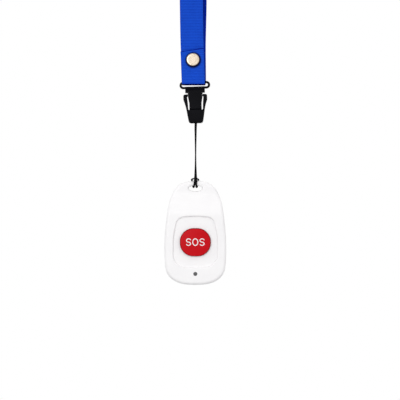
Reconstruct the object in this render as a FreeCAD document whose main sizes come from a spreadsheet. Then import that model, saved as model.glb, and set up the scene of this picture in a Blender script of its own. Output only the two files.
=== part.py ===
import FreeCAD, Part
import math
import os
import Sketcher
from FreeCAD import Placement, Rotation, Vector

# Wireless call pendant on a webbing lanyard, in millimetres.
# X runs to the right, Y runs to the back and Z runs up. The origin is the inside top of the strap's
# hanging loop, the pendant hangs below it and its red button faces -Y.

document = FreeCAD.newDocument("call_pendant")

# Driving dimensions
SIZES = (
    ("strap_width", 14.0),
    ("strap_thickness", 0.8),
    ("strap_eye_radius", 5.0),
    ("strap_merge_drop", 40.0),
    ("strap_inner_end_drop", 57.4),
    ("strap_flap_drop", 41.15),
    ("strap_flap_slant", 1.67),
    ("strap_bend_radius", 26.0),
    ("strap_shift", -0.95),
    ("strap_tilt", 1.2),
    ("rivet_drop", 47.9),
    ("rivet_offset", 0.2),
    ("rivet_head_diameter", 8.0),
    ("rivet_head_height", 1.2),
    ("rivet_post_diameter", 2.4),
    ("rivet_back_diameter", 6.8),
    ("rivet_back_height", 0.7),
    ("ring_drop", 61.3),
    ("ring_width", 18.5),
    ("ring_height", 4.6),
    ("ring_wire", 1.4),
    ("ring_play", 0.38),
    ("hang_shift", -0.35),
    ("hang_tilt", 1.8),
    ("knuckle_wall", 0.35),
    ("pin_play", 0.1),
    ("knuckle_top", 0.7),
    ("shoulder_width", 11.8),
    ("shoulder_drop", 3.0),
    ("plate_width", 8.9),
    ("plate_notch", 0.3),
    ("hook_drop", 3.95),
    ("hook_height", 0.75),
    ("plate_taper_end", 9.2),
    ("plate_lower_width", 7.4),
    ("plate_thickness", 4.0),
    ("plate_bevel", 0.6),
    ("base_top_drop", 13.3),
    ("tongue_width", 4.8),
    ("tongue_thickness", 2.8),
    ("tongue_length", 4.0),
    ("buckle_play", 0.1),
    ("pad_width", 14.3),
    ("pad_end_drop", 7.2),
    ("pad_round", 0.6),
    ("arm_thickness", 2.8),
    ("arm_gap_width", 9.8),
    ("arm_root", 1.1),
    ("base_width", 11.0),
    ("base_foot_width", 8.85),
    ("base_foot_round", 1.5),
    ("base_length", 8.05),
    ("base_thickness", 4.2),
    ("base_bevel", 1.0),
    ("knot_diameter", 2.8),
    ("knot_height", 2.2),
    ("knot_play", 0.1),
    ("cord_diameter", 0.7),
    ("cord_hole_diameter", 2.0),
    ("pendant_drop", 120.4),
    ("pendant_shift", -0.54),
    ("body_width", 36.9),
    ("body_length", 62.2),
    ("front_depth", 6.6),
    ("rear_depth", 6.6),
    ("bridge_depth", 2.3),
    ("slope_top", 6.6),
    ("slope_end", 21.0),
    ("edge_round", 1.8),
    ("hole_width", 8.0),
    ("hole_height", 3.4),
    ("hole_drop", 4.6),
    ("hole_round", 1.0),
    ("side_wall", 1.6),
    ("rear_wall", 1.6),
    ("face_wall", 2.5),
    ("shallow_top", 11.5),
    ("shallow_depth", 1.6),
    ("deep_top", 19.0),
    ("deep_step", 0.4),
    ("seal_width", 0.65),
    ("seal_height", 0.8),
    ("seal_play", 0.05),
    ("recess_top", 21.4),
    ("recess_length", 30.4),
    ("recess_width", 26.2),
    ("recess_corner", 7.5),
    ("recess_shoulder", 2.4),
    ("recess_shoulder_round", 5.0),
    ("recess_widest", 12.5),
    ("recess_bow", 40.0),
    ("recess_crown", 0.8),
    ("recess_crown_radius", 60.0),
    ("recess_depth", 1.2),
    ("recess_round", 0.8),
    ("button_drop", 36.8),
    ("button_width", 18.2),
    ("button_height", 16.5),
    ("button_corner", 7.9),
    ("button_edge_height", 6.7),
    ("button_crown", 0.7),
    ("button_rim_round", 0.5),
    ("button_play", 0.15),
    ("button_flange", 0.9),
    ("button_flange_thickness", 0.8),
    ("button_wall", 1.4),
    ("stem_diameter", 3.2),
    ("gasket_clearance", 0.6),
    ("gasket_width", 11.0),
    ("gasket_wall", 1.2),
    ("board_front", 0.4),
    ("board_thickness", 1.0),
    ("board_play", 0.4),
    ("board_top", 12.2),
    ("switch_width", 4.6),
    ("switch_height", 1.7),
    ("plunger_diameter", 2.2),
    ("plunger_depth", 1.5),
    ("plunger_play", 0.1),
    ("switch_gap", 0.8),
    ("chip_width", 5.0),
    ("chip_height", 0.9),
    ("chip_drop", 22.5),
    ("antenna_width", 6.5),
    ("antenna_depth", 2.2),
    ("antenna_height", 1.1),
    ("antenna_drop", 13.8),
    ("crystal_width", 2.5),
    ("crystal_depth", 2.0),
    ("crystal_height", 0.7),
    ("crystal_offset", 6.0),
    ("light_drop", 55.6),
    ("light_diameter", 2.3),
    ("light_play", 0.05),
    ("light_flange_diameter", 3.8),
    ("light_flange_thickness", 0.8),
    ("led_width", 1.8),
    ("led_height", 0.7),
    ("cell_diameter", 20.0),
    ("cell_thickness", 3.2),
    ("cell_rear", 4.8),
    ("cell_step", 0.3),
    ("cell_step_inset", 1.2),
    ("contact_thickness", 0.2),
    ("contact_width", 4.0),
    ("contact_touch", 0.03),
    ("door_diameter", 25.0),
    ("door_play", 0.2),
    ("door_plate", 1.2),
    ("door_hub_diameter", 22.2),
    ("door_hub_wall", 0.8),
    ("door_hub_depth", 3.1),
    ("door_floor", 1.5),
    ("door_slot_length", 12.0),
    ("door_slot_width", 1.8),
    ("door_slot_depth", 0.8),
    ("door_round", 0.3),
    ("lug_reach", 1.0),
    ("lug_width", 4.0),
    ("lug_thickness", 0.9),
    ("lug_play", 0.1),
    ("lug_angle", 45.0),
    ("flange_thickness", 0.9),
    ("well_wall", 1.0),
    ("door_seal_wire", 0.6),
    ("screw_top_drop", 16.0),
    ("screw_top_inset", 7.85),
    ("screw_low_drop", 53.2),
    ("screw_low_inset", 8.25),
    ("screw_diameter", 2.0),
    ("screw_head_diameter", 3.6),
    ("screw_head_height", 1.2),
    ("screw_seat", 3.0),
    ("screw_reach", 3.0),
    ("screw_play", 0.2),
    ("boss_diameter", 5.6),
    ("hitch_joint_drop", 117.3),
    ("cord_offset", 0.16),
    ("cord_twist_radius", 0.37),
    ("hitch_arch_shift", -0.3),
    ("hitch_slack", 0.75),
)

sheet = document.addObject("Spreadsheet::Sheet", "Sizes")
for row, (alias, value) in enumerate(SIZES, start=1):
    sheet.set("A%d" % row, alias)
    sheet.set("B%d" % row, str(value))
    sheet.setAlias("B%d" % row, alias)
document.recompute()


class Size:
    """A length that keeps its number together with the sheet formula that drives it."""

    def __init__(self, number, formula):
        self.number = float(number)
        self.formula = formula

    def __add__(self, other):
        return Size(self.number + number_of(other), "(%s + %s)" % (self.formula, formula_of(other)))

    def __sub__(self, other):
        return Size(self.number - number_of(other), "(%s - %s)" % (self.formula, formula_of(other)))

    def __mul__(self, other):
        return Size(self.number * number_of(other), "(%s * %s)" % (self.formula, formula_of(other)))

    def __truediv__(self, other):
        return Size(self.number / number_of(other), "(%s / %s)" % (self.formula, formula_of(other)))

    def __neg__(self):
        return Size(-self.number, "(0 - %s)" % self.formula)


def number_of(value):
    return value.number if isinstance(value, Size) else float(value)


def formula_of(value):
    return value.formula if isinstance(value, Size) else repr(float(value))


class Sheet:
    """Every driving dimension as a Size, by its alias."""


size = Sheet()
for alias, value in SIZES:
    setattr(size, alias, Size(sheet.get(alias), "Sizes." + alias))


def bind(item, path, value):
    item.setExpression(path, formula_of(value))


# Sketch and feature helpers

def new_body(label, place=None):
    body = document.addObject("PartDesign::Body", label)
    body.Label = label
    if place:
        place(body)
    return body


def new_sketch(body, role, name, lift=0.0):
    sketch = body.newObject("Sketcher::SketchObject", name)
    plane = next(item for item in body.Origin.OriginFeatures if item.Role == role)
    sketch.AttachmentSupport = (plane, [""])
    sketch.MapMode = "FlatFace"
    bind(sketch, "AttachmentOffset.Base.z", lift)
    return sketch


def hold_point(sketch, geometry, point, x, y, name):
    """Ties a point of the sketch to the sketch's origin by two distances."""
    for kind, value, letter in (("DistanceX", x, "x"), ("DistanceY", y, "y")):
        index = sketch.addConstraint(Sketcher.Constraint(kind, -1, 1, geometry, point, number_of(value)))
        sketch.renameConstraint(index, name + letter)
        sketch.setExpression("Constraints." + name + letter, formula_of(value))


def add_circle(sketch, diameter, x=0.0, y=0.0):
    circle = Part.Circle(Vector(number_of(x), number_of(y), 0), Vector(0, 0, 1), number_of(diameter) / 2)
    geometry = sketch.addGeometry(circle)
    name = "circle%d" % geometry
    index = sketch.addConstraint(Sketcher.Constraint("Diameter", geometry, number_of(diameter)))
    sketch.renameConstraint(index, name)
    sketch.setExpression("Constraints." + name, formula_of(diameter))
    hold_point(sketch, geometry, 3, x, y, name)


def add_polygon(sketch, corners):
    """Adds a closed outline of straight lines, each corner tied to its two sizes."""
    points = [Vector(number_of(x), number_of(y), 0) for x, y in corners]
    first = sketch.GeometryCount
    count = len(points)
    for index in range(count):
        sketch.addGeometry(Part.LineSegment(points[index], points[(index + 1) % count]))
    for index, (x, y) in enumerate(corners):
        follower = first + (index + 1) % count
        sketch.addConstraint(Sketcher.Constraint("Coincident", first + index, 2, follower, 1))
        hold_point(sketch, first + index, 1, x, y, "corner%d" % (first + index))


def add_rectangle(sketch, width, height, x=0.0, y=0.0):
    left = x - width / 2 if isinstance(x, Size) else -width / 2 + x
    right = left + width
    low = y - height / 2 if isinstance(y, Size) else -height / 2 + y
    high = low + height
    add_polygon(sketch, [(left, low), (right, low), (right, high), (left, high)])


def feature(body, kind, name, sketch, length, reverse=False, both=False):
    """Pads or pockets a sketch of the body by a length, to one side or half to each side."""
    item = body.newObject("PartDesign::" + kind, name)
    item.Profile = (sketch, [""])
    item.Reversed = reverse
    if both:
        item.SideType = "Symmetric"
    bind(item, "Length", length)
    sketch.Visibility = False
    document.recompute()
    return item


def pad(body, name, sketch, length, reverse=False):
    return feature(body, "Pad", name, sketch, length, reverse)


def pad_both(body, name, sketch, length):
    return feature(body, "Pad", name, sketch, length, both=True)


def pocket(body, name, sketch, length, reverse=False):
    before = body.Shape.Volume
    item = feature(body, "Pocket", name, sketch, length, reverse)
    check_cut(item, before)
    return item


def pocket_through(body, name, sketch, length):
    before = body.Shape.Volume
    item = feature(body, "Pocket", name, sketch, length, both=True)
    check_cut(item, before)
    return item


def check_cut(item, before):
    if item.Shape.Volume >= before - 1e-6:
        raise ValueError(item.Name + " cuts nothing")


def revolve_cut(body, name, sketch, axis_edge):
    before = body.Shape.Volume
    item = body.newObject("PartDesign::Groove", name)
    item.Profile = (sketch, [""])
    item.ReferenceAxis = (sketch, [axis_edge])
    item.Angle = 360.0
    document.recompute()
    check_cut(item, before)
    return item


def dress(body, kind, name, value, keep):
    """Fillets or chamfers those edges of the body that the test keeps."""
    base = body.Tip
    names = ["Edge%d" % (n + 1) for n, edge in enumerate(base.Shape.Edges) if keep(edge)]
    if not names:
        raise ValueError(name + " finds no edge")
    item = body.newObject("PartDesign::" + kind, name)
    item.Base = (base, names)
    bind(item, "Radius" if kind == "Fillet" else "Size", value)
    document.recompute()
    return item


def middle(edge):
    return edge.valueAt((edge.FirstParameter + edge.LastParameter) / 2)


def is_at(value, target):
    return abs(value - number_of(target)) < 1e-4


def is_circle_at(edge, diameter, height, x=0.0, z=0.0):
    """Tells whether an edge is the given circle about the Y direction."""
    if not isinstance(edge.Curve, Part.Circle):
        return False
    centre = edge.Curve.Center
    fits = is_at(edge.Curve.Radius, diameter / 2) and is_at(centre.y, height)
    return fits and is_at(centre.x, x) and is_at(centre.z, z)


def rounded_path(corners, radii, closed=False):
    """Straight runs joined by tangent arcs, from corner points and the radius at each corner."""
    count = len(corners)
    points = [Vector(*[number_of(c) for c in corner]) for corner in corners]
    inner = range(count) if closed else range(1, count - 1)
    edges = []
    start = None if closed else points[0]
    first = None
    for index in inner:
        corner = points[index]
        back = (points[index - 1] - corner).normalize()
        ahead = (points[(index + 1) % count] - corner).normalize()
        half = back.getAngle(ahead) / 2
        radius = number_of(radii[index])
        reach = radius / math.tan(half)
        enter = corner + back * reach
        leave = corner + ahead * reach
        centre = corner + (back + ahead).normalize() * (radius / math.sin(half))
        middle_point = centre + (corner - centre).normalize() * radius
        if start is not None and (enter - start).Length > 1e-6:
            edges.append(Part.LineSegment(start, enter))
        edges.append(Part.Arc(enter, middle_point, leave))
        first = enter if first is None else first
        start = leave
    last = first if closed else points[-1]
    if (last - start).Length > 1e-6:
        edges.append(Part.LineSegment(start, last))
    return edges


def add_edges(sketch, edges):
    """Adds ready edges to a sketch and joins the ends that meet."""
    numbers = [sketch.addGeometry(edge) for edge in edges]
    for one, two in zip(numbers, numbers[1:] + numbers[:1]):
        for end, start in ((2, 1), (2, 2), (1, 1), (1, 2)):
            if (sketch.getPoint(one, end) - sketch.getPoint(two, start)).Length < 1e-6:
                sketch.addConstraint(Sketcher.Constraint("Coincident", one, end, two, start))
                break


# Placements of the hanging groups

def place_pendant(item):
    bind(item, "Placement.Base.y", size.pendant_shift)
    bind(item, "Placement.Base.z", -size.pendant_drop)


def place_button_frame(item):
    bind(item, "Placement.Base.y", size.pendant_shift)
    bind(item, "Placement.Base.z", -(size.pendant_drop + size.button_drop))


def place_ring(item):
    bind(item, "Placement.Base.x", size.hang_shift)
    bind(item, "Placement.Base.z", -size.ring_drop)
    item.Placement.Rotation = Rotation(Vector(0, 1, 0), -size.hang_tilt.number)


RING_SPACING = size.ring_height - size.ring_wire


def tilted_point(across, back, down):
    """A point given from the ring's top bar in its tilted frame, as a point of the whole part."""
    turn = Rotation(Vector(0, 1, 0), -size.hang_tilt.number)
    bar = Vector(size.hang_shift.number, 0, -size.ring_drop.number)
    return turn.multVec(Vector(across, back, -down)) + bar


def place_buckle(item):
    tilt = -size.hang_tilt.number
    item.Placement = Placement(tilted_point(0, 0, RING_SPACING.number), Rotation(Vector(0, 1, 0), tilt))


def strap_placement():
    """The strap leans a little about the ring's top bar."""
    turn = Rotation(Vector(0, 1, 0), -size.strap_tilt.number)
    pivot = Vector(0, 0, -size.ring_drop.number)
    return Placement(pivot + Vector(size.strap_shift.number, 0, 0) - turn.multVec(pivot), turn)


def place_strap(item):
    item.Placement = strap_placement()


# Strap: one length of webbing, from its inner end up over the eye, down the back, round the ring and
# up again in front as the riveted flap

FOLD_RADIUS = size.ring_wire / 2 + size.ring_play + size.strap_thickness / 2


def strap_path():
    fold = FOLD_RADIUS.number
    eye = size.strap_eye_radius.number + size.strap_thickness.number / 2
    top = size.strap_thickness.number / 2
    eye_z = -size.strap_eye_radius.number
    merge = -size.strap_merge_drop.number
    low = -size.ring_drop.number - fold
    climb = eye_z - merge
    spread = math.asin(eye / climb)
    slope_back = math.atan2(fold, climb)
    spread_back = math.asin(eye / math.hypot(fold, climb)) - slope_back
    front_x = -math.tan(spread) * (top - merge)
    back_x = fold + math.tan(spread_back) * (top - merge)
    corners = [
        (0, 0, -size.strap_inner_end_drop.number),
        (0, 0, merge),
        (0, front_x, top),
        (0, back_x, top),
        (0, fold, merge),
        (0, fold, low),
        (0, -fold, low),
        (0, -fold, -size.strap_flap_drop.number),
    ]
    bend = size.strap_bend_radius
    back_eye = back_radius(corners, eye)
    return rounded_path(corners, [0, bend, eye, back_eye, bend, fold, fold, 0])


def back_radius(corners, eye):
    """The rear quarter of the eye takes the run that the front quarter leaves on the top line."""
    front = Vector(*corners[2])
    rear = Vector(*corners[3])
    half_front = (Vector(*corners[1]) - front).getAngle(rear - front) / 2
    half_rear = (Vector(*corners[4]) - rear).getAngle(front - rear) / 2
    left = (rear - front).Length - eye / math.tan(half_front)
    return left * math.tan(half_rear)


def make_strap():
    body = new_body("strap", place_strap)
    path = new_sketch(body, "YZ_Plane", "strap_path")
    flat = []
    for edge in strap_path():
        shape = edge.toShape()
        ends = [shape.valueAt(shape.FirstParameter), middle(shape), shape.valueAt(shape.LastParameter)]
        start, mid, end = [Vector(p.y, p.z, 0) for p in ends]
        straight = isinstance(edge, Part.LineSegment)
        flat.append(Part.LineSegment(start, end) if straight else Part.Arc(start, mid, end))
    add_edges(path, flat)
    section = new_sketch(body, "XY_Plane", "strap_section", -size.strap_inner_end_drop)
    add_rectangle(section, size.strap_width, size.strap_thickness)
    document.recompute()
    sweep = body.newObject("PartDesign::AdditivePipe", "strap_web")
    sweep.Profile = (section, [""])
    sweep.Spine = (path, ["Edge%d" % (n + 1) for n in range(len(flat))])
    sweep.Mode = "Frenet"
    document.recompute()
    slant = new_sketch(body, "XZ_Plane", "flap_slant", FOLD_RADIUS - size.strap_thickness)
    half = size.strap_width / 2 + 1
    add_polygon(slant, [
        (-half, -(size.strap_flap_drop + size.strap_flap_slant)),
        (half, -size.strap_flap_drop),
        (half, -(size.strap_flap_drop - 1)),
        (-half, -(size.strap_flap_drop - 1)),
    ])
    pocket(body, "flap_end", slant, size.strap_thickness * 2, reverse=True)
    hole = new_sketch(body, "XZ_Plane", "rivet_hole")
    add_circle(hole, size.rivet_post_diameter, -size.rivet_offset, -size.rivet_drop)
    pocket_through(body, "rivet_bore", hole, FOLD_RADIUS * 4)
    return body


# Rivet: a domed cap in front, its tubular post and a flat back cap

LAYER_FACE = FOLD_RADIUS + size.strap_thickness / 2


def place_rivet(item):
    spot = Placement(Vector(-size.rivet_offset.number, 0, -size.rivet_drop.number), Rotation())
    item.Placement = strap_placement().multiply(spot)


def make_rivet_cap():
    body = new_body("rivet_cap", place_rivet)
    disc = new_sketch(body, "XZ_Plane", "cap_disc", LAYER_FACE)
    add_circle(disc, size.rivet_head_diameter)
    pad(body, "cap_plate", disc, size.rivet_head_height)
    top = LAYER_FACE + size.rivet_head_height
    dress(body, "Fillet", "cap_dome", size.rivet_head_height * 0.7,
          lambda edge: is_circle_at(edge, size.rivet_head_diameter, -top))
    return body


def make_rivet_post():
    body = new_body("rivet_post", place_rivet)
    post = new_sketch(body, "XZ_Plane", "post_round", -LAYER_FACE)
    add_circle(post, size.rivet_post_diameter)
    pad(body, "post_shaft", post, LAYER_FACE * 2)
    disc = new_sketch(body, "XZ_Plane", "back_disc", -LAYER_FACE)
    add_circle(disc, size.rivet_back_diameter)
    pad(body, "back_plate", disc, size.rivet_back_height, reverse=True)
    dress(body, "Fillet", "back_rim", size.rivet_back_height / 2,
          lambda edge: is_circle_at(edge, size.rivet_back_diameter, LAYER_FACE + size.rivet_back_height))
    hollow = new_sketch(body, "XZ_Plane", "post_hollow", -(LAYER_FACE + size.rivet_back_height))
    add_circle(hollow, size.rivet_post_diameter * 0.6)
    pocket(body, "post_bore", hollow, size.rivet_back_height * 2, reverse=True)
    return body


# Ring: round wire bent to a flat racetrack and butt-welded

def make_ring():
    body = new_body("ring", place_ring)
    bend = RING_SPACING.number / 2
    reach = (size.ring_width.number - size.ring_wire.number) / 2 - bend
    low = -RING_SPACING.number
    path = new_sketch(body, "XZ_Plane", "ring_path")
    add_edges(path, [
        Part.LineSegment(Vector(0, 0, 0), Vector(reach, 0, 0)),
        Part.Arc(Vector(reach, 0, 0), Vector(reach + bend, -bend, 0), Vector(reach, low, 0)),
        Part.LineSegment(Vector(reach, low, 0), Vector(-reach, low, 0)),
        Part.Arc(Vector(-reach, low, 0), Vector(-reach - bend, -bend, 0), Vector(-reach, 0, 0)),
        Part.LineSegment(Vector(-reach, 0, 0), Vector(0, 0, 0)),
    ])
    section = new_sketch(body, "YZ_Plane", "ring_section")
    add_circle(section, size.ring_wire)
    document.recompute()
    sweep = body.newObject("PartDesign::AdditivePipe", "ring_wire")
    sweep.Profile = (section, [""])
    sweep.Spine = (path, ["Edge%d" % (n + 1) for n in range(5)])
    document.recompute()
    return body


# Release buckle: the top is snapped over the ring's lower bar and ends in a tongue, the base carries the
# cord and two spring arms whose hooks sit in the notches of the plate

BARREL = size.ring_wire + size.pin_play * 2 + size.knuckle_wall * 2


def make_buckle_top():
    body = new_body("buckle_top", place_buckle)
    barrel = new_sketch(body, "YZ_Plane", "knuckle_round")
    add_circle(barrel, BARREL)
    pad_both(body, "knuckle", barrel, size.shoulder_width)
    side = new_sketch(body, "YZ_Plane", "shoulder_side")
    half = size.plate_thickness / 2
    neck = BARREL / 2 * 0.8
    add_polygon(side, [
        (-neck, BARREL * -0.22),
        (-half, BARREL * -0.75),
        (-half, -size.shoulder_drop),
        (half, -size.shoulder_drop),
        (half, BARREL * -0.75),
        (neck, BARREL * -0.22),
    ])
    pad_both(body, "shoulders", side, size.shoulder_width)
    plate = new_sketch(body, "XZ_Plane", "plate_outline", -half)
    wide = size.plate_width / 2
    inner = wide - size.plate_notch
    low = size.plate_lower_width / 2
    end = size.base_top_drop - size.buckle_play / 2
    hook_end = size.hook_drop + size.hook_height
    right = [
        (wide, -(size.shoulder_drop - 0.5)),
        (wide, -(size.hook_drop - size.buckle_play)),
        (inner, -(size.hook_drop - size.buckle_play)),
        (inner, -hook_end),
        (wide, -(hook_end + size.plate_notch)),
        (low, -size.plate_taper_end),
        (low, -end),
    ]
    left = [(-x, z) for x, z in reversed(right)]
    add_polygon(plate, right + left)
    pad(body, "plate", plate, size.plate_thickness)
    dress(body, "Chamfer", "plate_bevels", size.plate_bevel, lambda edge: is_plate_edge(edge, low, end))
    tongue = new_sketch(body, "XY_Plane", "tongue_section", -end)
    add_rectangle(tongue, size.tongue_width, size.tongue_thickness)
    pad(body, "tongue", tongue, size.tongue_length, reverse=True)
    dress(body, "Chamfer", "tongue_lead", size.buckle_play * 3,
          lambda edge: all(is_at(vertex.Z, -(end + size.tongue_length)) for vertex in edge.Vertexes))
    bore = new_sketch(body, "YZ_Plane", "bar_round")
    add_circle(bore, size.ring_wire + size.pin_play * 2)
    pocket_through(body, "bar_bore", bore, size.shoulder_width * 2)
    mouth = new_sketch(body, "YZ_Plane", "snap_mouth")
    add_rectangle(mouth, BARREL * 2, BARREL, 0.0, size.knuckle_top + BARREL / 2)
    pocket_through(body, "snap_mouth_cut", mouth, size.shoulder_width * 2)
    return body


def is_plate_edge(edge, low, end):
    """The long upright edges of the plate's narrow part, front and back."""
    if len(edge.Vertexes) != 2 or not isinstance(edge.Curve, (Part.Line, Part.LineSegment)):
        return False
    point = middle(edge)
    upright = all(is_at(abs(vertex.X), low) for vertex in edge.Vertexes)
    on_face = is_at(abs(point.y), size.plate_thickness / 2)
    return upright and on_face and point.z < -size.plate_taper_end.number


def make_buckle_base():
    body = new_body("buckle_base", place_buckle)
    arm = size.arm_thickness / 2
    pad_half = size.pad_width / 2
    gap = size.arm_gap_width / 2
    plate_side = size.plate_width / 2 - size.plate_notch
    hook = plate_side + size.buckle_play
    root = size.plate_lower_width / 2 + size.buckle_play
    top = size.base_top_drop
    hook_low = size.hook_drop + size.hook_height - size.buckle_play
    bottom = top + size.base_length
    foot = size.base_foot_width / 2
    foot_round = size.base_foot_round
    taper = [
        (foot + 0.5, -(top + size.base_length * 0.46)),
        (foot, -(bottom - foot_round)),
        (foot - foot_round * 0.3, -(bottom - foot_round * 0.3)),
        (foot - foot_round, -bottom),
    ]
    outer = [
        (gap, -size.hook_drop),
        (pad_half - size.pad_round, -(size.hook_drop + 0.1)),
        (pad_half, -(size.hook_drop + 0.1 + size.pad_round)),
        (pad_half, -size.pad_end_drop),
        (pad_half - 0.7, -(size.pad_end_drop + 2)),
        (size.base_width / 2 + 0.4, -(top - 2)),
        (size.base_width / 2, -top),
    ] + taper
    slot_low = size.base_width / 2 - size.arm_root
    inner = [
        (root, -(top + 0.001)),
        (root + 0.4, -(top - 0.1)),
        (slot_low, -(top - 0.5)),
        (gap - 0.35, -(size.pad_end_drop + 2)),
        (gap, -(hook_low + 0.9)),
        (gap - 0.35, -(hook_low + 0.35)),
        (hook, -hook_low),
        (hook, -(size.hook_drop + 0.05)),
    ]
    left_outer = [(-x, z) for x, z in reversed(outer)]
    left_inner = [(-x, z) for x, z in reversed(inner)]
    outline = new_sketch(body, "XZ_Plane", "base_outline", -arm)
    add_polygon(outline, outer + left_outer + left_inner + inner)
    pad(body, "arms", outline, size.arm_thickness)
    thick = new_sketch(body, "XZ_Plane", "block_outline", -size.base_thickness / 2)
    block = [(size.base_width / 2 - 0.1, -(top + 0.02))] + taper
    add_polygon(thick, block + [(-x, z) for x, z in reversed(block)])
    pad(body, "block", thick, size.base_thickness)
    dress(body, "Chamfer", "foot_bevel", size.base_bevel,
          lambda edge: all(is_at(vertex.Z, -bottom) for vertex in edge.Vertexes)
          and is_at(abs(middle(edge).y), size.base_thickness / 2))
    socket = new_sketch(body, "XY_Plane", "socket_section", -top)
    play = size.buckle_play * 2
    add_rectangle(socket, size.tongue_width + play, size.tongue_thickness + play)
    pocket(body, "socket", socket, size.tongue_length + play + size.knot_height + size.knot_play)
    hole = new_sketch(body, "XY_Plane", "cord_hole_round", -top)
    add_circle(hole, size.cord_hole_diameter)
    pocket(body, "cord_hole", hole, size.base_length * 2)
    return body


KNOT_TOP = size.base_top_drop + size.tongue_length + size.buckle_play * 2


def make_cord_knot():
    body = new_body("cord_knot", place_buckle)
    disc = new_sketch(body, "XY_Plane", "knot_round", -KNOT_TOP)
    add_circle(disc, size.knot_diameter)
    pad(body, "knot_block", disc, size.knot_height, reverse=True)
    dress(body, "Fillet", "knot_round_off", size.knot_height * 0.35,
          lambda edge: isinstance(edge.Curve, Part.Circle))
    return body


# Pendant shells: two halves of a pebble, full over the battery and thin at the bridge

# Share of the half width and of the length, from the top down the right side
OUTLINE_SHARES = (
    (0.352, 0.0135),
    (0.590, 0.0545),
    (0.768, 0.137),
    (0.915, 0.316),
    (0.972, 0.470),
    (1.000, 0.640),
    (0.986, 0.783),
    (0.915, 0.888),
    (0.683, 0.960),
)


def side_points(inset):
    """Points down the right side of the pendant's outline, moved inward by the inset."""
    half = size.body_width.number / 2
    length = size.body_length.number
    side = [Vector(x * half, -z * length, 0) for x, z in OUTLINE_SHARES]
    mirrored = [Vector(-p.x, p.y, 0) for p in reversed(side)]
    curve = closed_curve([Vector(0, 0, 0)] + side + [Vector(0, -length, 0)] + mirrored)
    moved = []
    for point in side + [Vector(0, -length, 0)]:
        tangent = curve.tangent(curve.parameter(point))[0]
        inward = Vector(tangent.y, -tangent.x, 0)
        if (point + inward - Vector(0, -length / 2, 0)).Length > (point - Vector(0, -length / 2, 0)).Length:
            inward = -inward
        moved.append(point + inward * number_of(inset))
    return moved


def closed_curve(points):
    curve = Part.BSplineCurve()
    curve.interpolate(Points=points, PeriodicFlag=True)
    return curve


def body_outline(inset=0.0):
    side = side_points(inset)
    mirrored = [Vector(-p.x, p.y, 0) for p in reversed(side[:-1])]
    return closed_curve([Vector(0, -number_of(inset), 0)] + side + mirrored)


def inner_outline(top, inset):
    """The room inside the walls, closed above by a flat arch at the given drop."""
    drop = number_of(top) + number_of(inset) - size.side_wall.number
    side = [point for point in side_points(inset) if point.y < -(drop + 3.2)]
    reach = side[0].x
    arch = [Vector(0, -drop, 0), Vector(reach * 0.6, -drop - 0.35, 0), Vector(reach * 0.88, -drop - 1.7, 0)]
    right = arch + side
    mirrored = [Vector(-p.x, p.y, 0) for p in reversed(right[1:-1])]
    return closed_curve(right + mirrored)


def slope_cut(body, depth, side):
    """Takes the pendant's face down to the bridge along an S-shaped slope."""
    rise = size.slope_end.number - size.slope_top.number
    step = depth.number - size.bridge_depth.number
    radius = (rise * rise + step * step) / (4 * step)
    half_turn = math.atan2(step, rise)
    bridge = side * size.bridge_depth.number
    face = side * depth.number
    upper = Vector(bridge, -size.slope_top.number, 0)
    lower = Vector(face, -size.slope_end.number, 0)
    centre = (upper + lower) * 0.5
    sag = radius * (1 - math.cos(half_turn))
    run = radius * math.sin(half_turn)
    upper_mid = Vector(bridge + side * sag, -size.slope_top.number - run, 0)
    lower_mid = Vector(face - side * sag, -size.slope_end.number + run, 0)
    out = side * (depth.number + 2)
    sketch = new_sketch(body, "YZ_Plane", "slope_side")
    add_edges(sketch, [
        Part.LineSegment(Vector(bridge, 2, 0), upper),
        Part.Arc(upper, upper_mid, centre),
        Part.Arc(centre, lower_mid, lower),
        Part.LineSegment(lower, Vector(out, -size.slope_end.number, 0)),
        Part.LineSegment(Vector(out, -size.slope_end.number, 0), Vector(out, 2, 0)),
        Part.LineSegment(Vector(out, 2, 0), Vector(bridge, 2, 0)),
    ])
    pocket_through(body, "slope", sketch, size.body_width * 2)


def is_outer_edge(edge, wall):
    point = middle(edge)
    if abs(point.y) < 0.5:
        return False
    flat = Part.Vertex(Vector(point.x, 0, point.z))
    return flat.distToShape(wall)[0] < 1e-3


def shell_blank(body, depth, side):
    """The outside of one shell: outline, slope, rounded edge and the cord's hole."""
    outline = new_sketch(body, "XZ_Plane", "outline")
    curve = body_outline()
    outline.addGeometry(curve)
    pad(body, "blank", outline, depth, reverse=side > 0)
    slope_cut(body, depth, side)
    wall = curve.toShape()
    wall.Placement = Placement(Vector(0, 0, 0), Rotation(Vector(1, 0, 0), 90))
    dress(body, "Fillet", "edge_rounding", size.edge_round, lambda edge: is_outer_edge(edge, wall))
    hole = new_sketch(body, "XZ_Plane", "cord_opening")
    centre = Vector(0, -size.hole_drop.number, 0)
    ellipse = Part.Ellipse(centre, size.hole_width.number / 2, size.hole_height.number / 2)
    hole.addGeometry(ellipse)
    pocket_through(body, "cord_opening_cut", hole, depth * 4)
    dress(body, "Fillet", "bridge_rounding", size.hole_round,
          lambda edge: edge.isClosed() and is_at(middle(edge).y, size.bridge_depth * side))


def screw_spots():
    """Where the four shell screws stand, as drop and offset."""
    spots = []
    for drop, inset in (
        (size.screw_top_drop, size.screw_top_inset),
        (size.screw_low_drop, size.screw_low_inset),
    ):
        offset = size.body_width / 2 - inset
        spots.append((-offset, -drop))
        spots.append((offset, -drop))
    return spots


def add_bosses(body, name, face, lengths, reverse):
    """Stands the screw bosses from the board up to the shell."""
    spots = screw_spots()
    for label, group, length in (("upper", spots[:2], lengths[0]), ("lower", spots[2:], lengths[1])):
        sketch = new_sketch(body, "XZ_Plane", name + "_" + label, face)
        for x, z in group:
            add_circle(sketch, size.boss_diameter, x, z)
        pad(body, name + "_" + label + "_pad", sketch, length, reverse=reverse)


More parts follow.
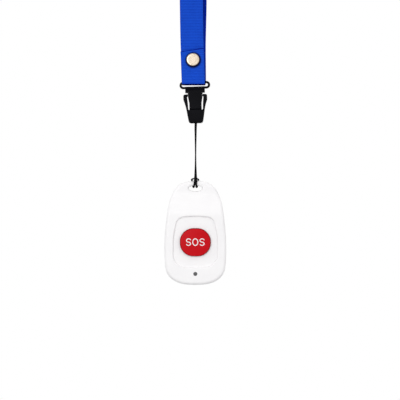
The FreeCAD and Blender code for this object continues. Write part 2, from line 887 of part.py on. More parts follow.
def make_front_shell():
    body = new_body("front_shell", place_pendant)
    shell_blank(body, size.front_depth, -1)
    shallow = new_sketch(body, "XZ_Plane", "board_room")
    shallow.addGeometry(inner_outline(size.shallow_top, size.side_wall))
    pocket(body, "board_pocket", shallow, size.shallow_depth + size.board_front, reverse=True)
    deep = new_sketch(body, "XZ_Plane", "button_room")
    deep.addGeometry(inner_outline(size.deep_top, size.side_wall + size.deep_step))
    inside = size.front_depth - size.face_wall
    pocket(body, "button_pocket", deep, inside, reverse=True)
    seal = new_sketch(body, "XZ_Plane", "seal_step")
    seal.addGeometry(inner_outline(size.shallow_top, size.side_wall - size.seal_width))
    pocket(body, "seal_pocket", seal, size.seal_height, reverse=True)
    add_bosses(body, "boss", size.board_front, (size.shallow_depth, inside - size.board_front), False)
    pilots = new_sketch(body, "XZ_Plane", "pilot_rounds", size.board_front)
    for x, z in screw_spots():
        add_circle(pilots, size.screw_diameter, x, z)
    pocket(body, "pilot_holes", pilots, size.screw_reach, reverse=True)
    recess = new_sketch(body, "XZ_Plane", "recess_outline", size.front_depth)
    add_edges(recess, recess_edges())
    pocket(body, "recess", recess, size.recess_depth)
    rim = Part.Wire([edge.toShape() for edge in recess_edges()])
    rim.Placement = Placement(Vector(0, -size.front_depth.number, 0), Rotation(Vector(1, 0, 0), 90))
    dress(body, "Fillet", "recess_rim", size.recess_round, lambda edge: is_on_wire(edge, rim))
    opening = new_sketch(body, "XZ_Plane", "button_opening", size.front_depth)
    add_edges(opening, button_edges(size.button_play, size.button_drop))
    pocket(body, "button_opening_cut", opening, size.front_depth)
    light = new_sketch(body, "XZ_Plane", "light_round", size.front_depth)
    add_circle(light, size.light_diameter + size.light_play * 2, 0.0, -size.light_drop)
    pocket(body, "light_hole", light, size.front_depth)
    return body


def recess_edges():
    """The dish round the button: arched above and below, with sides that draw in towards the top."""
    top = -size.recess_top.number
    low = top - size.recess_length.number
    half = size.recess_width.number / 2
    corner = size.recess_corner.number
    shoulder = half - size.recess_shoulder.number
    crown = size.recess_crown.number
    bow = size.recess_crown_radius.number
    half_angle = math.pi / 2 - math.atan2(crown, half)
    peak = bow * (1 / math.sin(half_angle) - 1)
    right = [
        (shoulder, top + peak - crown, 0),
        (half, top - size.recess_widest.number, 0),
        (half, low - peak + crown, 0),
    ]
    left = [(-x, z, 0) for x, z, y in reversed(right)]
    rounds = [size.recess_shoulder_round.number, size.recess_bow.number, corner]
    corners = [(0, top + peak, 0)] + right + [(0, low - peak, 0)] + left
    return rounded_path(corners, [bow] + rounds + [bow] + rounds[::-1], closed=True)


def is_on_wire(edge, wire):
    return Part.Vertex(middle(edge)).distToShape(wire)[0] < 1e-4


def button_edges(grow, drop):
    """The button's rounded outline, grown on every side."""
    wide = size.button_width.number / 2 + number_of(grow)
    high = size.button_height.number / 2 + number_of(grow)
    z = -number_of(drop)
    corner = size.button_corner.number + number_of(grow)
    corners = [(wide, z + high, 0), (wide, z - high, 0), (-wide, z - high, 0), (-wide, z + high, 0)]
    return rounded_path(corners, [corner] * 4, closed=True)


def make_rear_shell():
    body = new_body("rear_shell", place_pendant)
    shell_blank(body, size.rear_depth, 1)
    shallow = new_sketch(body, "XZ_Plane", "board_room")
    shallow.addGeometry(inner_outline(size.shallow_top, size.side_wall))
    pocket(body, "board_pocket", shallow, size.shallow_depth)
    deep = new_sketch(body, "XZ_Plane", "battery_room")
    deep.addGeometry(inner_outline(size.deep_top, size.side_wall + size.deep_step))
    inside = size.rear_depth - size.rear_wall
    pocket(body, "battery_pocket", deep, inside)
    back = size.board_thickness - size.board_front
    add_bosses(body, "boss", -back, (size.shallow_depth - back + 0.2, inside - back), True)
    channel = size.door_hub_diameter + size.lug_reach * 2 + size.lug_play * 4
    well = new_sketch(body, "XZ_Plane", "well_round", -back)
    add_circle(well, channel + size.well_wall * 2, 0.0, -size.button_drop)
    pad(body, "well", well, inside - back, reverse=True)
    flange_face = size.rear_depth - size.door_plate - size.flange_thickness
    bore = new_sketch(body, "XZ_Plane", "channel_round")
    add_circle(bore, channel, 0.0, -size.button_drop)
    pocket(body, "channel", bore, flange_face)
    mouth = new_sketch(body, "XZ_Plane", "mouth_round")
    add_circle(mouth, size.door_hub_diameter + size.door_play * 2, 0.0, -size.button_drop)
    pocket(body, "mouth", mouth, size.rear_depth * 2)
    seat = new_sketch(body, "XZ_Plane", "seat_round", -size.rear_depth)
    add_circle(seat, size.door_diameter + size.door_play * 2, 0.0, -size.button_drop)
    pocket(body, "seat", seat, size.door_plate, reverse=True)
    add_lug_slots(body)
    clear = new_sketch(body, "XZ_Plane", "screw_rounds")
    heads = new_sketch(body, "XZ_Plane", "head_rounds", -size.screw_seat)
    for x, z in screw_spots():
        add_circle(clear, size.screw_diameter + size.screw_play, x, z)
        add_circle(heads, size.screw_head_diameter + size.screw_play * 2, x, z)
    pocket(body, "screw_holes", clear, size.rear_depth * 2)
    pocket(body, "screw_heads", heads, size.rear_depth)
    return body


def lug_corners(reach, width, angle):
    """A lug or slot that leaves the hub at an angle, as four corners in the XZ plane."""
    turn = math.radians(angle)
    inner = size.door_hub_diameter.number / 2 - 0.6
    outer = size.door_hub_diameter.number / 2 + number_of(reach)
    half = number_of(width) / 2
    corners = []
    for along, across in ((inner, -half), (outer, -half), (outer, half), (inner, half)):
        x = along * math.cos(turn) - across * math.sin(turn)
        z = along * math.sin(turn) + across * math.cos(turn)
        corners.append((x, z))
    return corners


LUG_COUNT = 3


def add_lugs(body, name, face, drop, reach, width, start, length, cut):
    """Three lugs or slots round the hub, each from its own sketch."""
    for number in range(LUG_COUNT):
        sketch = new_sketch(body, "XZ_Plane", "%s_outline_%d" % (name, number + 1), face)
        corners = lug_corners(reach, width, start + number * 360 / LUG_COUNT)
        add_polygon(sketch, [(x, z - number_of(drop)) for x, z in corners])
        if cut:
            pocket(body, "%s_%d" % (name, number + 1), sketch, length)
        else:
            pad(body, "%s_%d" % (name, number + 1), sketch, length, reverse=True)


def add_lug_slots(body):
    """Gaps in the well's flange that let the door's lugs in when it is turned open."""
    flange_face = size.rear_depth - size.door_plate - size.flange_thickness
    reach = size.lug_reach + size.lug_play
    add_lugs(body, "lug_slot", -flange_face, size.button_drop, reach, size.lug_width + size.door_play * 2,
             90 - size.lug_angle.number, size.flange_thickness, True)


def make_shell_seal():
    body = new_body("shell_seal", place_pendant)
    ring = new_sketch(body, "XZ_Plane", "seal_outline")
    outer = size.side_wall - size.seal_width + size.seal_play
    ring.addGeometry(inner_outline(size.shallow_top, outer))
    ring.addGeometry(inner_outline(size.shallow_top, size.side_wall))
    pad(body, "seal_ring", ring, size.seal_height)
    return body


# Button: a hollow cap with a domed face, a hidden flange and a stem down to the switch

FLANGE_FACE = size.front_depth - size.face_wall


def make_button_cap():
    body = new_body("button_cap", place_button_frame)
    face = new_sketch(body, "XZ_Plane", "cap_outline", FLANGE_FACE)
    add_edges(face, button_edges(0.0, 0.0))
    crown = size.button_edge_height + size.button_crown
    pad(body, "cap_block", face, crown - FLANGE_FACE)
    dome = new_sketch(body, "YZ_Plane", "dome_side")
    span = math.hypot(size.button_width.number, size.button_height.number) / 2
    rise = size.button_crown.number
    top = crown.number
    radius = (span * span + rise * rise) / (2 * rise)
    outside = span + 2
    drop = radius - math.sqrt(radius * radius - outside * outside)
    half_drop = radius - math.sqrt(radius * radius - outside * outside / 4)
    half_way = Vector(-(top - half_drop), outside / 2, 0)
    add_edges(dome, [
        Part.Arc(Vector(-top, 0, 0), half_way, Vector(-(top - drop), outside, 0)),
        Part.LineSegment(Vector(-(top - drop), outside, 0), Vector(-(top + 1), outside, 0)),
        Part.LineSegment(Vector(-(top + 1), outside, 0), Vector(-(top + 1), 0, 0)),
        Part.LineSegment(Vector(-(top + 1), 0, 0), Vector(-top, 0, 0)),
    ])
    revolve_cut(body, "dome", dome, "H_Axis")
    dress(body, "Fillet", "rim_rounding", size.button_rim_round, is_rim_edge)
    flange = new_sketch(body, "XZ_Plane", "flange_outline", FLANGE_FACE)
    add_edges(flange, button_edges(size.button_flange, 0.0))
    pad(body, "flange", flange, size.button_flange_thickness, reverse=True)
    hollow = new_sketch(body, "XZ_Plane", "hollow_outline", FLANGE_FACE - size.button_flange_thickness)
    add_edges(hollow, button_edges(-size.button_wall, 0.0))
    room = size.button_edge_height - size.button_wall - FLANGE_FACE + size.button_flange_thickness
    pocket(body, "hollow", hollow, room, reverse=True)
    stem = new_sketch(body, "XZ_Plane", "stem_round", PLUNGER_TOP)
    add_circle(stem, size.stem_diameter)
    pad(body, "stem", stem, crown - size.button_crown - PLUNGER_TOP)
    return body


def is_rim_edge(edge):
    """The edge where the domed face meets the cap's side."""
    point = middle(edge)
    low = -(size.button_edge_height + size.button_crown).number
    high = -(size.front_depth - size.face_wall).number
    if not low - 0.01 < point.y < high - 0.5:
        return False
    ends = [vertex.Y for vertex in edge.Vertexes]
    return len(ends) == 2 and abs(ends[0] - ends[1]) < 0.5


PLUNGER_TOP = size.board_front + size.switch_height + size.switch_gap


def make_gasket():
    body = new_body("button_gasket", place_button_frame)
    ring = new_sketch(body, "XZ_Plane", "gasket_outline", size.board_front)
    add_rectangle(ring, size.gasket_width, size.gasket_width)
    inner = size.gasket_width - size.gasket_wall * 2
    add_rectangle(ring, inner, inner)
    height = FLANGE_FACE - size.button_flange_thickness - size.gasket_clearance - size.board_front
    pad(body, "gasket_wall", ring, height)
    dress(body, "Fillet", "gasket_corners", size.gasket_wall / 2,
          lambda edge: len(edge.Vertexes) == 2 and abs(edge.Vertexes[0].Y - edge.Vertexes[1].Y) > 0.5)
    return body


# Electronics on the board's front face

BOARD_BACK = size.board_thickness - size.board_front


def make_board():
    body = new_body("circuit_board", place_pendant)
    outline = new_sketch(body, "XZ_Plane", "board_outline", -BOARD_BACK)
    outline.addGeometry(inner_outline(size.board_top, size.side_wall + size.board_play))
    pad(body, "board_sheet", outline, size.board_thickness)
    holes = new_sketch(body, "XZ_Plane", "board_rounds", -BOARD_BACK)
    for x, z in screw_spots():
        add_circle(holes, size.screw_diameter + size.screw_play, x, z)
    pocket(body, "board_holes", holes, size.board_thickness, reverse=True)
    return body


def board_block(label, width, depth, height, x, z, lift=None):
    """A component body that stands on the board's front face."""
    body = new_body(label, place_pendant)
    sketch = new_sketch(body, "XZ_Plane", label + "_outline", size.board_front if lift is None else lift)
    add_rectangle(sketch, width, depth, x, z)
    pad(body, label + "_block", sketch, height)
    return body


def make_switch():
    body = board_block("switch_body", size.switch_width, size.switch_width, size.switch_height, 0.0,
                       -size.button_drop)
    bore = new_sketch(body, "XZ_Plane", "plunger_round", size.board_front + size.switch_height)
    add_circle(bore, size.plunger_diameter + size.plunger_play * 2, 0.0, -size.button_drop)
    pocket(body, "plunger_bore", bore, size.plunger_depth)
    return body


def make_plunger():
    body = new_body("switch_plunger", place_button_frame)
    disc = new_sketch(body, "XZ_Plane", "plunger_disc", PLUNGER_TOP)
    add_circle(disc, size.plunger_diameter)
    pad(body, "plunger", disc, size.switch_gap + size.plunger_depth / 2, reverse=True)
    return body


def make_light_pipe():
    body = new_body("light_pipe", place_pendant)
    rod = new_sketch(body, "XZ_Plane", "rod_round", size.board_front + size.led_height + size.light_play * 2)
    add_circle(rod, size.light_diameter, 0.0, -size.light_drop)
    pad(body, "rod", rod, size.front_depth - size.board_front - size.led_height - size.light_play * 3)
    collar = new_sketch(body, "XZ_Plane", "collar_round", FLANGE_FACE)
    add_circle(collar, size.light_flange_diameter, 0.0, -size.light_drop)
    pad(body, "collar", collar, size.light_flange_thickness, reverse=True)
    return body


# Battery, its contacts and the bayonet door

def make_cell():
    body = new_body("coin_cell", place_button_frame)
    can = new_sketch(body, "XZ_Plane", "can_round", -size.cell_rear)
    add_circle(can, size.cell_diameter)
    pad(body, "can", can, size.cell_thickness - size.cell_step)
    cap = new_sketch(body, "XZ_Plane", "cap_round", -(size.cell_rear - size.cell_thickness + size.cell_step))
    add_circle(cap, size.cell_diameter - size.cell_step_inset * 2)
    pad(body, "cap", cap, size.cell_step)
    dress(body, "Fillet", "can_edge", size.cell_step,
          lambda edge: is_circle_at(edge, size.cell_diameter, size.cell_rear))
    return body


def make_contact_minus():
    """A leaf soldered to the board whose free end rises to the cell."""
    body = new_body("contact_minus", place_button_frame)
    touch = size.cell_rear - size.cell_thickness - size.contact_touch
    sheet_top = BOARD_BACK + size.contact_thickness
    half = size.contact_width / 2
    side = new_sketch(body, "YZ_Plane", "leaf_side")
    gauge = size.contact_thickness
    add_polygon(side, [
        (BOARD_BACK, half * -2),
        (BOARD_BACK, half + gauge * 2),
        (sheet_top, half + gauge * 2),
        (touch, -half),
        (touch, -half - gauge * 3),
        (touch - gauge, -half - gauge * 3),
        (touch - gauge, -half),
        (sheet_top, half - gauge * 3),
        (sheet_top, half * -2),
    ])
    pad_both(body, "leaf", side, size.contact_width)
    return body


def make_contact_plus():
    """A bent strip whose foot stands on the board and whose wall touches the cell's side."""
    body = new_body("contact_plus", place_button_frame)
    wall = size.cell_diameter / 2 + size.contact_touch
    foot = new_sketch(body, "XZ_Plane", "foot_outline", -BOARD_BACK)
    half = size.contact_width / 2
    add_polygon(foot, [(wall, -half), (wall + 1.2, -half), (wall + 1.2, half), (wall, half)])
    pad(body, "foot", foot, size.contact_thickness, reverse=True)
    upright = new_sketch(body, "XZ_Plane", "upright_outline", -BOARD_BACK)
    edge = wall + size.contact_thickness
    add_polygon(upright, [(wall, -half), (edge, -half), (edge, half), (wall, half)])
    pad(body, "upright", upright, size.cell_thickness * 0.8, reverse=True)
    return body


def make_door():
    body = new_body("battery_door", place_button_frame)
    face = -size.rear_depth
    plate = new_sketch(body, "XZ_Plane", "door_round", face)
    add_circle(plate, size.door_diameter)
    pad(body, "door_plate", plate, size.door_plate)
    hub_end = size.rear_depth - size.door_hub_depth
    hub = new_sketch(body, "XZ_Plane", "hub_round", face)
    add_circle(hub, size.door_hub_diameter)
    pad(body, "door_hub", hub, size.door_hub_depth)
    lug_face = size.rear_depth - size.door_plate - size.flange_thickness - size.lug_play - size.lug_thickness
    add_lugs(body, "lug", -lug_face, 0.0, size.lug_reach, size.lug_width, 90, size.lug_thickness, False)
    room = new_sketch(body, "XZ_Plane", "cell_room", -hub_end)
    add_circle(room, size.door_hub_diameter - size.door_hub_wall * 2)
    pocket(body, "cell_pocket", room, size.door_hub_depth - size.door_floor)
    groove = new_sketch(body, "XZ_Plane", "seal_groove", -(size.rear_depth - size.door_plate))
    add_circle(groove, SEAL_CENTRE * 2 + size.door_seal_wire + size.lug_play)
    add_circle(groove, SEAL_CENTRE * 2 - size.door_seal_wire - size.lug_play)
    pocket(body, "seal_groove_cut", groove, size.door_seal_wire)
    slot = new_sketch(body, "XZ_Plane", "coin_slot", face)
    add_rectangle(slot, size.door_slot_length, size.door_slot_width)
    pocket(body, "coin_slot_cut", slot, size.door_slot_depth, reverse=True)
    dress(body, "Chamfer", "door_edge", size.door_round,
          lambda edge: is_circle_at(edge, size.door_diameter, size.rear_depth))
    return body


SEAL_CENTRE = (size.door_diameter + size.door_hub_diameter) / 4


def make_door_seal():
    seal = document.addObject("Part::Torus", "door_seal")
    seal.Label = "door_seal"
    bind(seal, "Radius1", SEAL_CENTRE)
    bind(seal, "Radius2", size.door_seal_wire / 2)
    seal.Placement = Placement(Vector(0, 0, 0), Rotation(Vector(1, 0, 0), 90))
    bind(seal, "Placement.Base.y",
         size.pendant_shift + size.rear_depth - size.door_plate + size.door_seal_wire / 2)
    bind(seal, "Placement.Base.z", -(size.pendant_drop + size.button_drop))
    return seal


def make_screw(label, x, z):
    body = new_body(label, place_pendant)
    shank = new_sketch(body, "XZ_Plane", "shank_round", -size.screw_seat)
    add_circle(shank, size.screw_diameter, x, z)
    pad(body, "shank", shank, size.screw_seat + size.screw_reach)
    head = new_sketch(body, "XZ_Plane", "head_round", -size.screw_seat)
    add_circle(head, size.screw_head_diameter, x, z)
    pad(body, "head", head, size.screw_head_height, reverse=True)
    top = size.screw_seat + size.screw_head_height
    dress(body, "Fillet", "head_dome", size.screw_head_height * 0.5,
          lambda edge: is_circle_at(edge, size.screw_head_diameter, top, x, z))
    drive = new_sketch(body, "XZ_Plane", "drive_cross", -top)
    add_rectangle(drive, size.screw_head_diameter * 0.6, size.screw_head_diameter * 0.16, x, z)
    pocket(body, "drive", drive, size.screw_head_height * 0.45, reverse=True)
    cross = new_sketch(body, "XZ_Plane", "drive_cross_two", -top)
    add_rectangle(cross, size.screw_head_diameter * 0.16, size.screw_head_diameter * 0.6, x, z)
    pocket(body, "drive_two", cross, size.screw_head_height * 0.45, reverse=True)
    return body


# Cord: one thin loop, knotted in the buckle's base and hitched on the pendant's bridge

RUN_SHARE = 0.45


def cord_tube(label, points):
    """A round tube along straight runs and tangent arcs, as large as the runs allow."""
    corners = [Vector(*point) for point in points]
    radii = [0.0]
    for before, corner, after in zip(corners, corners[1:], corners[2:]):
        back = before - corner
        ahead = after - corner
        half = back.getAngle(ahead) / 2
        radii.append(RUN_SHARE * min(back.Length, ahead.Length) * math.tan(half))
    radii.append(0.0)
    print(label, "radii", [round(radius, 2) for radius in radii[1:-1]])
    wire = Part.Wire([edge.toShape() for edge in rounded_path(points, radii)])
    radius = size.cord_diameter.number / 2
    circle = Part.Circle(corners[0], corners[1] - corners[0], radius)
    profile = Part.Wire([circle.toShape()])
    tube = Part.Solid(wire.makePipeShell([profile], True, False))
    section = math.pi * radius * radius * wire.Length
    print(label, "volume", round(tube.Volume, 3), "section times length", round(section, 3))
    item = document.addObject("Part::Feature", label)
    item.Label = label
    item.Shape = tube
    return item


# Drops of the two strands between the buckle and the hinge, and the half turn they make there
STRAND_TURNS = (
    (87.5, 205),
    (92.0, 232),
    (98.0, 256),
    (104.5, 270),
    (110.5, 282),
    (114.0, 306),
    (115.9, 333),
)


def strand_points(turned):
    """One strand, from inside the buckle's base down to the hitch."""
    start = tilted_point(0, 0, (RING_SPACING + KNOT_TOP + size.knot_height).number + 0.15)
    centre = size.cord_offset.number
    side = -1 if turned else 1
    around = size.cord_twist_radius.number
    points = [(start.x - side * around, 0, start.z)]
    for drop, angle in STRAND_TURNS:
        turn = math.radians(angle)
        points.append((centre + side * around * math.cos(turn), side * around * math.sin(turn), -drop))
    end = -(size.hitch_joint_drop.number - size.cord_diameter.number / 2 - 0.05)
    points.append((centre + side * around, 0, end))
    return points


def hitch_points():
    """The hitch, from the left strand round the bridge and over both strands to the right one."""
    centre = size.cord_offset.number
    shift = size.pendant_shift.number
    face = size.bridge_depth.number + size.cord_diameter.number / 2 + 0.15
    top = -size.pendant_drop.number
    hole_top = top - (size.hole_drop - size.hole_height / 2).number
    under = hole_top - size.cord_diameter.number / 2 - size.hitch_slack.number
    over = top + size.cord_diameter.number / 2 + 0.15
    strand = [
        (size.cord_twist_radius.number, 0, -size.hitch_joint_drop.number),
        (0.4, shift - 0.7, -size.hitch_joint_drop.number - 1.3),
        (0.48, shift - face, top + 0.2),
    ]
    arch = [
        (0.6, shift - face, under),
        (1.2, shift + face, under),
        (1.9, shift + face, over),
        (2.15, shift - 0.9, over + 0.1),
        (1.2, shift - 2.8, top + 1.25),
    ]
    arch_centre = centre + size.hitch_arch_shift.number
    left = [(centre - x, y, z) for x, y, z in strand] + [(arch_centre - x, y, z) for x, y, z in arch]
    right = [(centre + x, y, z) for x, y, z in strand] + [(arch_centre + x, y, z) for x, y, z in arch]
    return left + right[::-1]


# Every piece of the assembly

PIECES = [
    make_strap(),
    make_rivet_cap(),
    make_rivet_post(),
    make_ring(),
    make_buckle_top(),
    make_buckle_base(),
    make_cord_knot(),
    cord_tube("cord_left", strand_points(False)),
    cord_tube("cord_right", strand_points(True)),
    cord_tube("cord_hitch", hitch_points()),
    make_front_shell(),
    make_rear_shell(),
    make_shell_seal(),
    make_button_cap(),
    make_gasket(),
    make_light_pipe(),
    make_board(),
    make_switch(),
    make_plunger(),
    board_block("radio_chip", size.chip_width, size.chip_width, size.chip_height, 0.0, -size.chip_drop),
    board_block("chip_antenna", size.antenna_width, size.antenna_depth, size.antenna_height, 0.0,
                -size.antenna_drop),
    board_block("crystal", size.crystal_width, size.crystal_depth, size.crystal_height,
                size.crystal_offset, -size.chip_drop),
    board_block("status_led", size.led_width, size.led_width, size.led_height, 0.0, -size.light_drop),
    make_cell(),
    make_contact_minus(),
    make_contact_plus(),
    make_door(),
    make_door_seal(),
]
for index, (x, z) in enumerate(screw_spots()):
    PIECES.append(make_screw("shell_screw_%d" % (index + 1), x, z))

document.recompute()

for item in document.Objects:
    if "Invalid" in item.State or "Error" in item.State:
        raise ValueError(item.Name + " failed to build")
for piece in PIECES:
    if piece.Shape.isNull() or not piece.Shape.isValid():
        raise ValueError(piece.Label + " has no valid shape")

os.makedirs("parts", exist_ok=True)
for piece in PIECES:
    piece.Shape.exportStep(os.path.join("parts", piece.Label + ".step"))
    print(piece.Label, len(piece.Shape.Solids), round(piece.Shape.Volume, 2))
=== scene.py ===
import math

import bpy
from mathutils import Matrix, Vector


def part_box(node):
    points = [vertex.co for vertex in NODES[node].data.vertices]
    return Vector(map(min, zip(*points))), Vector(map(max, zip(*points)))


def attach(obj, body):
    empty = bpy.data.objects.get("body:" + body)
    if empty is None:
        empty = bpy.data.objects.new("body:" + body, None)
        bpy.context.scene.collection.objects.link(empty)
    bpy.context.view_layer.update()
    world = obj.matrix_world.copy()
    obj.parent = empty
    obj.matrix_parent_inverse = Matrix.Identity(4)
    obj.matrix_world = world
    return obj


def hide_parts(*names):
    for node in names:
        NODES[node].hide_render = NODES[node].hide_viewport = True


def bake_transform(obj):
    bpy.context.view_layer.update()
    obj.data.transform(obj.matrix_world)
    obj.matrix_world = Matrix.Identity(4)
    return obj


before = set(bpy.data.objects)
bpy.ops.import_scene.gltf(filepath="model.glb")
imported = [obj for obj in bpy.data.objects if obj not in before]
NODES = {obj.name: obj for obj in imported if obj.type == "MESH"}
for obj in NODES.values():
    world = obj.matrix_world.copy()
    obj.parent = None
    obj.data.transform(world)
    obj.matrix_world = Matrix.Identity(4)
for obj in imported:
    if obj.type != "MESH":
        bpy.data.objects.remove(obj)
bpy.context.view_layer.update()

# Wireless call pendant on a webbing lanyard, in metres: +Z is up and the red button faces -Y.
# The origin is the inside top of the lanyard's loop.


# Camera and light

VIEW_SIDE = 0.2406
VIEW_X = 0.0028
VIEW_Z = -0.132
LENS = 100.0
SENSOR = 36.0
SKY_LIGHT = 0.85
SKY_FROM = 0.5
GROUND_LIGHT = 0.47
GROUND_FROM = -0.7
LAMP_TARGET = (0, 0, -0.12)
KEY_PLACE = (-0.40, -1.02, 0.10)
KEY_SIDE = 0.6
KEY_POWER = 4.35
FILL_PLACE = (0.70, -0.60, -0.10)
FILL_SIDE = 0.8
FILL_POWER = 1.0
FLOOR_DROP = 0.60
FLOOR_REACH = 3.0
FLOOR_COLOUR = (0.45, 0.45, 0.45, 1)
FLOOR_ROUGHNESS = 0.9


def make_camera():
    data = bpy.data.cameras.new("camera")
    data.lens = LENS
    data.sensor_width = SENSOR
    camera = bpy.data.objects.new("camera", data)
    camera.location = (VIEW_X, -VIEW_SIDE * LENS / SENSOR, VIEW_Z)
    camera.rotation_euler = (math.radians(90), 0, 0)
    bpy.context.scene.collection.objects.link(camera)
    bpy.context.scene.camera = camera


def white_to_camera(tree):
    """Gives 1 for the rays that see the background itself and 0 for those that light the object."""
    path = tree.nodes.new("ShaderNodeLightPath")
    seen = path.outputs["Is Camera Ray"]
    for name in ("Is Glossy Ray", "Is Transmission Ray"):
        both = tree.nodes.new("ShaderNodeMath")
        both.operation = "MAXIMUM"
        tree.links.new(seen, both.inputs[0])
        tree.links.new(path.outputs[name], both.inputs[1])
        seen = both.outputs[0]
    return seen


def make_world():
    """A plain grey room, lighter above than below, that the camera sees as white."""
    world = bpy.data.worlds.new("studio")
    world.use_nodes = True
    tree = world.node_tree
    background = tree.nodes["Background"]
    place = tree.nodes.new("ShaderNodeTexCoord")
    height = tree.nodes.new("ShaderNodeSeparateXYZ")
    tree.links.new(place.outputs["Generated"], height.inputs["Vector"])
    room = tree.nodes.new("ShaderNodeMapRange")
    room.inputs["From Min"].default_value = GROUND_FROM
    room.inputs["From Max"].default_value = SKY_FROM
    room.inputs["To Min"].default_value = GROUND_LIGHT
    room.inputs["To Max"].default_value = SKY_LIGHT
    tree.links.new(height.outputs["Z"], room.inputs["Value"])
    mix = tree.nodes.new("ShaderNodeMix")
    mix.data_type = "RGBA"
    mix.inputs["B"].default_value = (1, 1, 1, 1)
    tree.links.new(room.outputs["Result"], mix.inputs["A"])
    tree.links.new(white_to_camera(tree), mix.inputs["Factor"])
    tree.links.new(mix.outputs["Result"], background.inputs["Color"])
    bpy.context.scene.world = world


def make_lamp(name, place, side, power):
    data = bpy.data.lights.new(name, "AREA")
    data.shape = "SQUARE"
    data.size = side
    data.energy = power
    lamp = bpy.data.objects.new(name, data)
    lamp.location = place
    lamp.rotation_euler = (Vector(LAMP_TARGET) - Vector(place)).to_track_quat("-Z", "Y").to_euler()
    bpy.context.scene.collection.objects.link(lamp)


def make_floor():
    """A floor far below, white to the camera and grey to the light."""
    corners = [(x * FLOOR_REACH, y * FLOOR_REACH, -FLOOR_DROP) for x, y in ((-1, -1), (1, -1), (1, 1), (-1, 1))]
    floor = mesh_object("floor", corners, [(0, 1, 2, 3)])
    material = bpy.data.materials.new("floor")
    material.use_nodes = True
    tree = material.node_tree
    shader = tree.nodes["Principled BSDF"]
    shader.inputs["Base Color"].default_value = FLOOR_COLOUR
    shader.inputs["Roughness"].default_value = FLOOR_ROUGHNESS
    glow = tree.nodes.new("ShaderNodeEmission")
    glow.inputs["Color"].default_value = (1, 1, 1, 1)
    mix = tree.nodes.new("ShaderNodeMixShader")
    tree.links.new(white_to_camera(tree), mix.inputs["Fac"])
    tree.links.new(shader.outputs["BSDF"], mix.inputs[1])
    tree.links.new(glow.outputs["Emission"], mix.inputs[2])
    tree.links.new(mix.outputs["Shader"], tree.nodes["Material Output"].inputs["Surface"])
    floor.data.materials.append(material)


# Mesh helpers

CURVE_STEPS = 24


def mesh_object(name, points, faces):
    """A smooth-shaded mesh, linked to the scene."""
    data = bpy.data.meshes.new(name)
    data.from_pydata([tuple(point) for point in points], [], faces)
    data.update()
    data.shade_smooth()
    item = bpy.data.objects.new(name, data)
    bpy.context.scene.collection.objects.link(item)
    return item


def smooth_line(points, closed=False):
    """Points along the smooth curve that has the given control points."""
    curve = bpy.data.curves.new("route", "CURVE")
    curve.dimensions = "3D"
    curve.resolution_u = CURVE_STEPS
    spline = curve.splines.new("NURBS")
    spline.points.add(len(points) - 1)
    for item, point in zip(spline.points, points):
        item.co = (*point, 1.0)
    spline.order_u = 3
    if closed:
        spline.use_cyclic_u = True
    else:
        spline.use_endpoint_u = True
    holder = bpy.data.objects.new("route", curve)
    mesh = bpy.data.meshes.new_from_object(holder)
    line = [vertex.co.copy() for vertex in mesh.vertices]
    bpy.data.objects.remove(holder)
    bpy.data.curves.remove(curve)
    bpy.data.meshes.remove(mesh)
    return line


def length_of(line):
    return sum((b - a).length for a, b in zip(line, line[1:]))


def even_steps(line, step):
    """The same line, with its points an even step apart."""
    count = max(2, round(length_of(line) / step))
    spacing = length_of(line) / count
    result = [line[0].copy()]
    travelled = 0.0
    for a, b in zip(line, line[1:]):
        run = (b - a).length
        while len(result) < count and travelled + run >= spacing * len(result):
            share = (spacing * len(result) - travelled) / run
            result.append(a.lerp(b, share))
        travelled += run
    result.append(line[-1].copy())
    return result


def frames_along(line):
    """Each point of a line, with two vectors square to the line that don't turn about it."""
    result = []
    side = None
    for index, point in enumerate(line):
        ahead = line[min(index + 1, len(line) - 1)] - line[max(index - 1, 0)]
        ahead.normalize()
        if side is None:
            side = Vector((0, 1, 0)).cross(ahead)
        side = (side - ahead * side.dot(ahead)).normalized()
        result.append((point, side, ahead.cross(side)))
    return result


def ring_faces(rings, around, closed_line=False):
    """Quads between rings of points, with both ends capped unless the line is closed."""
    faces = []
    for ring in range(rings if closed_line else rings - 1):
        low = ring * around
        high = (ring + 1) % rings * around
        for k in range(around):
            after = (k + 1) % around
            faces.append((low + k, low + after, high + after, high + k))
    if not closed_line:
        faces.append(tuple(reversed(range(around))))
        faces.append(tuple(range((rings - 1) * around, rings * around)))
    return faces


def store(item, name, values):
    """Keeps one number per point, for the material to read."""
    layer = item.data.attributes.new(name, "FLOAT", "POINT")
    layer.data.foreach_set("value", values)


# Materials

WHITE = (1.0, 1.0, 1.0)
# Ways a face looks to stay clear of the painted rim shade: the front, and the front raised to the upper left
# towards the key lamp
FRONT = (0.0, -1.0, 0.0)
FRONT_RAISED_LEFT = (-0.12, -1.0, 0.3)
TINT_SIZE = 0.009
GLOSS_SIZE = 0.003

# In the scales of the textures: warp threads 0.83 mm apart, and the pattern of copper tracks
THREAD_SCALE = 378.94
TRACK_SCALE = 420.0
TRACK_WIDTH = 0.03


def new_material(name, roughness, metallic=0.0):
    """A material with its node tree and its shader."""
    material = bpy.data.materials.new(name)
    material.use_nodes = True
    tree = material.node_tree
    shader = tree.nodes["Principled BSDF"]
    shader.inputs["Roughness"].default_value = roughness
    shader.inputs["Metallic"].default_value = metallic
    return material, tree, shader


def object_noise(tree, size, detail=3.0):
    """Noise in the piece's own space, with features of about the given size in metres."""
    place = tree.nodes.new("ShaderNodeTexCoord")
    noise = tree.nodes.new("ShaderNodeTexNoise")
    noise.inputs["Scale"].default_value = 1.0 / size
    noise.inputs["Detail"].default_value = detail
    tree.links.new(place.outputs["Object"], noise.inputs["Vector"])
    return noise.outputs["Fac"]


def attribute(tree, name):
    """The number that store() kept under this name."""
    node = tree.nodes.new("ShaderNodeAttribute")
    node.attribute_name = name
    return node.outputs["Fac"]


